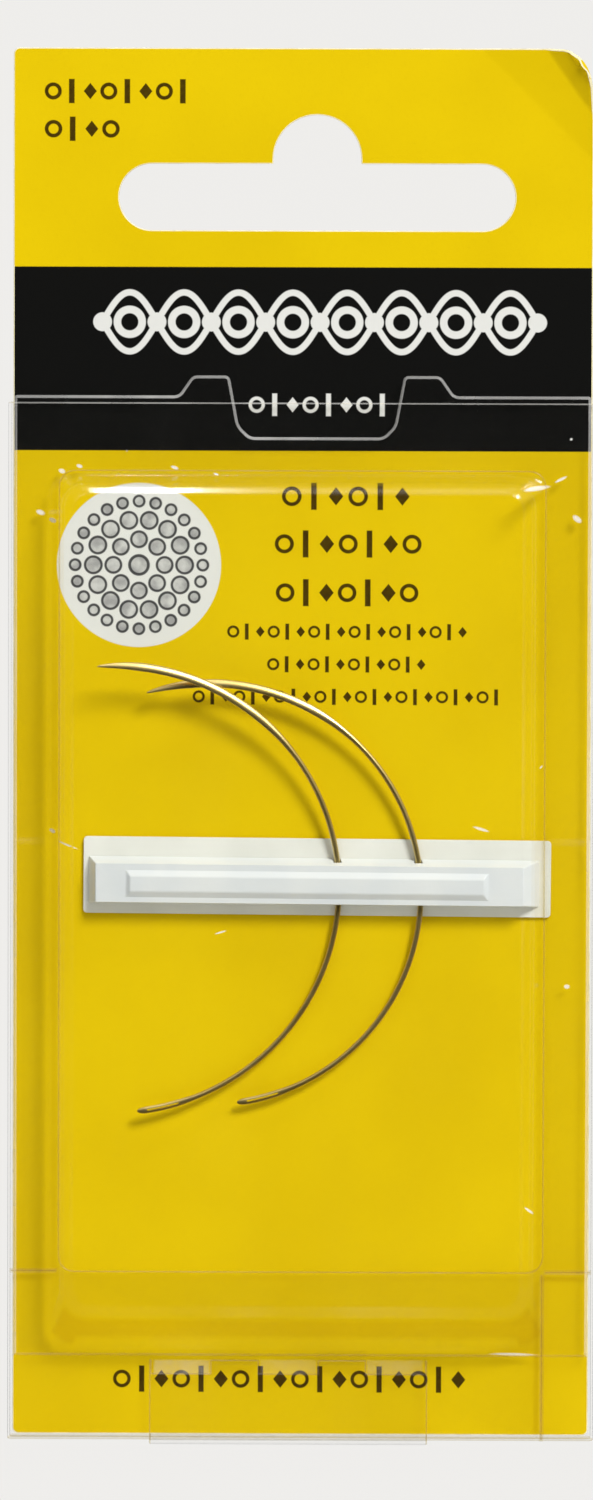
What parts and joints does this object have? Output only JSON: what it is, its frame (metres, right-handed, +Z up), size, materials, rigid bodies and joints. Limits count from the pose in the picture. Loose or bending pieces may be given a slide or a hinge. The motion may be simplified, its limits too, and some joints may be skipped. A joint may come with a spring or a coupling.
{
  "type": "carded curved beading needles",
  "caption": "Upright hang card in a clear pocket with a hinged blister cover, holding a pair of half-round curved beading needles in a raised white bar.",
  "frame": {"origin": "the point under the top of the hang slot's centre hump where a display peg bears, at half the card's thickness", "axes": "+Z up the card, +X to the right seen from the front, and the front with its clear cover faces -Y"},
  "size_m": [0.047, 0.0054, 0.1118],
  "materials": {
    "printed_board": "gloss-varnished print on white board",
    "clear_sheet": "clear, glossy",
    "tape_film": "satin",
    "white_moulding": "satin",
    "plated_steel": "bright nickel plate"
  },
  "bodies": {
    "pack": {"backing_card": "printed_board", "card_pocket": "clear_sheet", "hinge_tongue": "clear_sheet", "holder_tape": "tape_film", "holder_strip": "white_moulding", "holder_bar": "white_moulding"},
    "cover": {"blister_cover": "clear_sheet"},
    "left_needle": {"needle_left": "plated_steel"},
    "right_needle": {"needle_right": "plated_steel"}
  },
  "joints": [
    {"name": "cover_hinge", "type": "hinge", "parent": "pack", "child": "cover", "pos_m": [-0.00205, -0.00132, -0.09945], "axis": [1, 0, 0], "range_deg": [0, 135]},
    {"name": "left_needle_slide", "type": "hinge", "parent": "pack", "child": "left_needle", "pos_m": [-0.016, -0.0024, -0.06176], "axis": [0.0806, -0.9956, -0.0468], "range_deg": [-14, 3]},
    {"name": "right_needle_slide", "type": "hinge", "parent": "pack", "child": "right_needle", "pos_m": [-0.00845, -0.00152, -0.06216], "axis": [0.034, -0.9992, -0.023], "range_deg": [-11, 20]}
  ]
}
